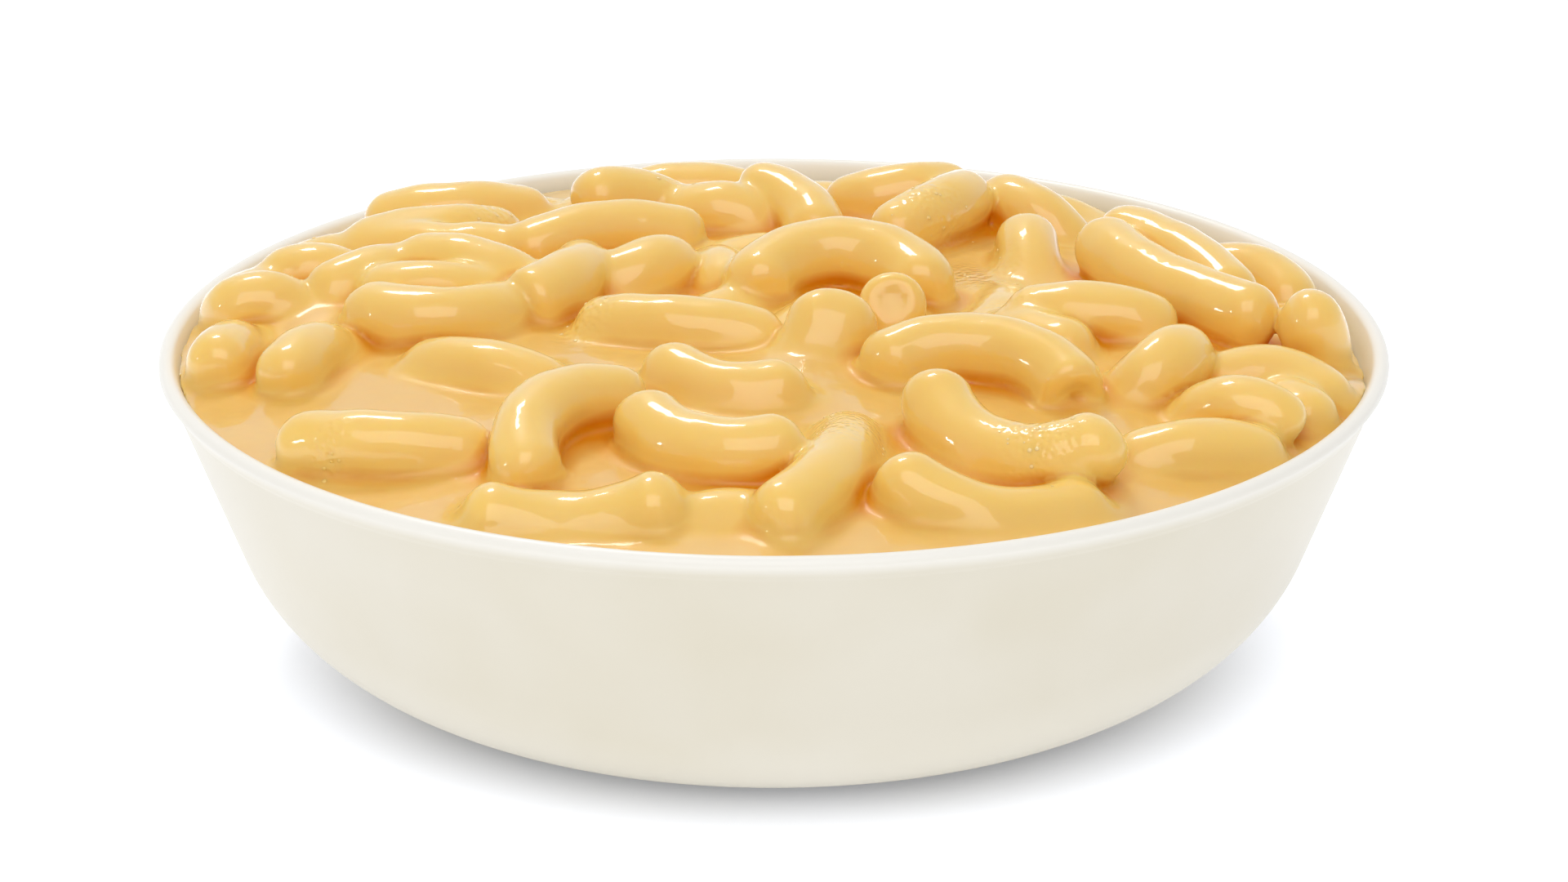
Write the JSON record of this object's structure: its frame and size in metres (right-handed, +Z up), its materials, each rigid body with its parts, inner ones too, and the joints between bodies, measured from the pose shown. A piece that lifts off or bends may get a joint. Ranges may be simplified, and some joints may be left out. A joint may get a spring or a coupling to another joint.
{
  "type": "mac and cheese",
  "caption": "Round serving bowl with a straight leaning wall and flat base, heaped with elbow macaroni in a glossy cheese sauce.",
  "frame": {"origin": "middle of the bowl's flat base, on the surface that it stands on", "axes": "+Z up along the bowl's own axis, +X to the right and +Y to the back as the dish is served"},
  "size_m": [0.152, 0.152, 0.0521],
  "materials": {
    "bowl": "satin cream glaze",
    "macaroni": "glossy cheese sauce"
  },
  "bodies": {
    "root": {"bowl": "bowl", "macaroni": "macaroni"}
  },
  "joints": []
}
